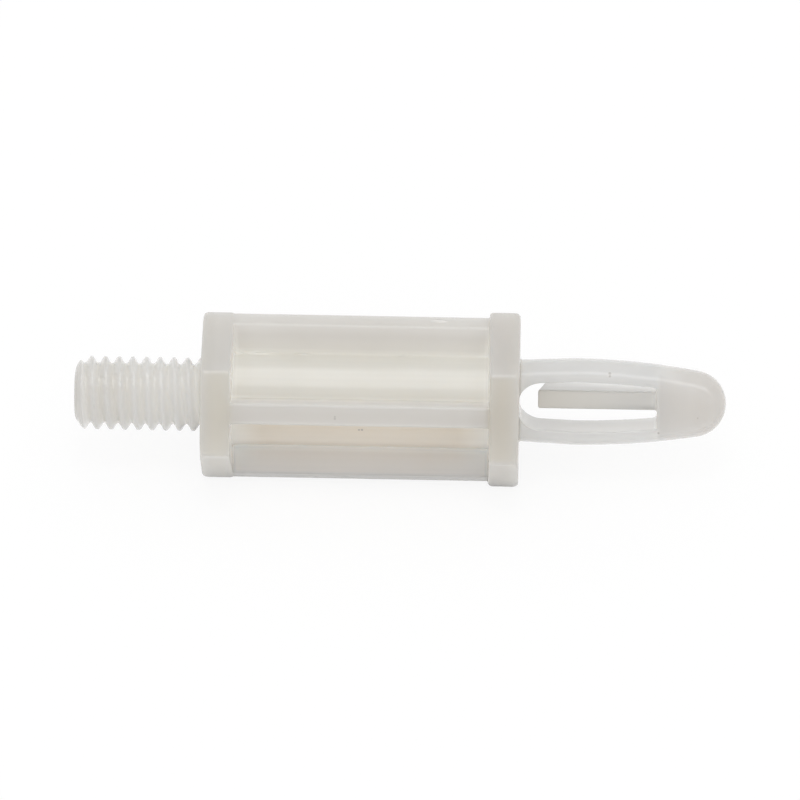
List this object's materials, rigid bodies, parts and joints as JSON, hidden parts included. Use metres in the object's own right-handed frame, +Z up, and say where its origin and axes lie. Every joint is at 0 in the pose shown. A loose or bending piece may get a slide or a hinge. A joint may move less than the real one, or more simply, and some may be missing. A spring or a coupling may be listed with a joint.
{
  "type": "snap pcb support",
  "caption": "Moulded nylon circuit board support with a threaded stud, a ribbed hexagonal spacer and a snap head with a locking tongue.",
  "frame": {"origin": "on the part's axis, at the seat face of the base flange", "axes": "+X along the axis towards the snap head, -X along the stud, +Z up with the part lying on two flats of its hexagons"},
  "size_m": [0.0332, 0.0092, 0.008],
  "materials": {
    "natural_nylon": "natural milky nylon, translucent, with a soft satin sheen"
  },
  "bodies": {
    "root": {"pcb_support": "natural_nylon"}
  },
  "joints": []
}
